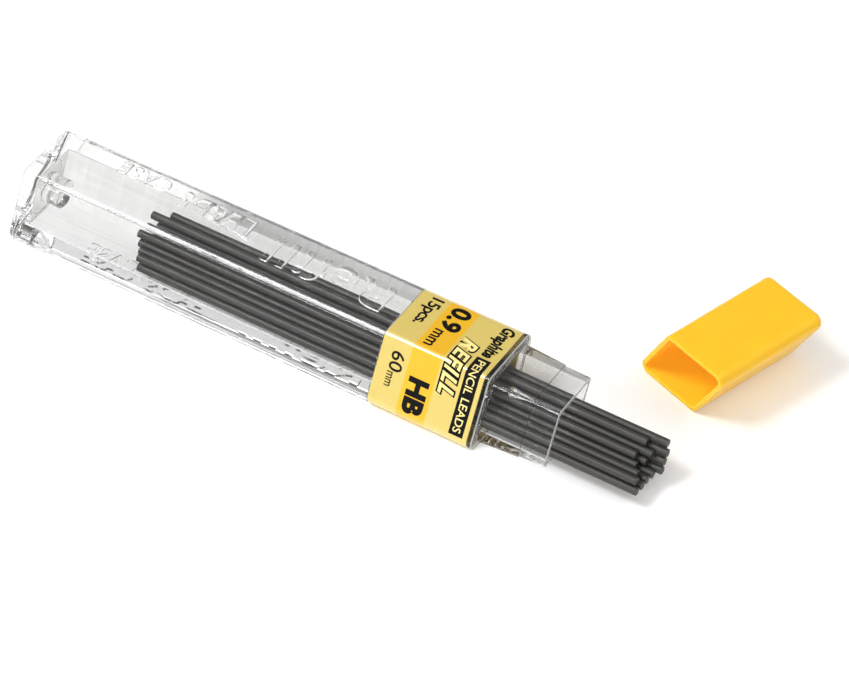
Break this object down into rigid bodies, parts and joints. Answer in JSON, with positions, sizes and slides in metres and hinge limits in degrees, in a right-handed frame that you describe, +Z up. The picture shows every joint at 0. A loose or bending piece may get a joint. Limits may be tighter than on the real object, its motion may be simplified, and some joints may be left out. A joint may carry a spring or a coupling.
{
  "type": "pencil lead refill case",
  "caption": "Slim clear rhombic-section case with a printed label band, open neck, loose pencil leads sliding out and a separate yellow push-on cap.",
  "frame": {"origin": "on the case's resting face, under the case's long axis at the middle of its body", "axes": "+X along the case from its closed end to its open neck, +Z up from the surface the case lies on, +Y to the left when looking along +X"},
  "size_m": [0.0819, 0.0326, 0.0076],
  "materials": {
    "clear_plastic": "clear polished polystyrene",
    "label_film": "satin printed film, pale gold with an orange band",
    "cap_plastic": "smooth satin moulded yellow plastic",
    "graphite": "satin graphite"
  },
  "bodies": {
    "case": {"case": "clear_plastic", "label": "label_film"},
    "cap": {"cap": "cap_plastic"},
    "lead_01": {"lead_01": "graphite"},
    "lead_02": {"lead_02": "graphite"},
    "lead_03": {"lead_03": "graphite"},
    "lead_04": {"lead_04": "graphite"},
    "lead_05": {"lead_05": "graphite"},
    "lead_06": {"lead_06": "graphite"},
    "lead_07": {"lead_07": "graphite"},
    "lead_08": {"lead_08": "graphite"},
    "lead_09": {"lead_09": "graphite"},
    "lead_10": {"lead_10": "graphite"},
    "lead_11": {"lead_11": "graphite"},
    "lead_12": {"lead_12": "graphite"},
    "lead_13": {"lead_13": "graphite"},
    "lead_14": {"lead_14": "graphite"},
    "lead_15": {"lead_15": "graphite"}
  },
  "joints": [
    {"name": "cap_slide", "type": "slide", "parent": "case", "child": "cap", "axis": [0.3173, 0.9483, 0], "range_m": [0, 0.02]},
    {"name": "lead_01_slide", "type": "slide", "parent": "case", "child": "lead_01", "axis": [1, 0, 0], "range_m": [-0.0138, 0.0511]},
    {"name": "lead_02_slide", "type": "slide", "parent": "case", "child": "lead_02", "axis": [1, 0, 0], "range_m": [-0.01388, 0.0511]},
    {"name": "lead_03_slide", "type": "slide", "parent": "case", "child": "lead_03", "axis": [1, 0, 0], "range_m": [-0.01387, 0.0511]},
    {"name": "lead_04_slide", "type": "slide", "parent": "case", "child": "lead_04", "axis": [1, 0, 0], "range_m": [-0.0117, 0.0509]},
    {"name": "lead_05_slide", "type": "slide", "parent": "case", "child": "lead_05", "axis": [1, 0, 0], "range_m": [-0.0145, 0.0504]},
    {"name": "lead_06_slide", "type": "slide", "parent": "case", "child": "lead_06", "axis": [1, 0, 0], "range_m": [-0.0135, 0.0514]},
    {"name": "lead_07_slide", "type": "slide", "parent": "case", "child": "lead_07", "axis": [1, 0, 0], "range_m": [-0.01075, 0.0519]},
    {"name": "lead_08_slide", "type": "slide", "parent": "case", "child": "lead_08", "axis": [1, 0, 0], "range_m": [-0.01005, 0.0526]},
    {"name": "lead_09_slide", "type": "slide", "parent": "case", "child": "lead_09", "axis": [1, 0, 0], "range_m": [-0.01065, 0.052]},
    {"name": "lead_10_slide", "type": "slide", "parent": "case", "child": "lead_10", "axis": [1, 0, 0], "range_m": [-0.01217, 0.0505]},
    {"name": "lead_11_slide", "type": "slide", "parent": "case", "child": "lead_11", "axis": [1, 0, 0], "range_m": [-0.0097, 0.0529]},
    {"name": "lead_12_slide", "type": "slide", "parent": "case", "child": "lead_12", "axis": [1, 0, 0], "range_m": [-0.011, 0.0516]},
    {"name": "lead_13_slide", "type": "slide", "parent": "case", "child": "lead_13", "axis": [1, 0, 0], "range_m": [-0.0122, 0.0504]},
    {"name": "lead_14_slide", "type": "slide", "parent": "case", "child": "lead_14", "axis": [1, 0, 0], "range_m": [-0.0101, 0.0525]},
    {"name": "lead_15_slide", "type": "slide", "parent": "case", "child": "lead_15", "axis": [1, 0, 0], "range_m": [-0.01423, 0.0507]}
  ]
}
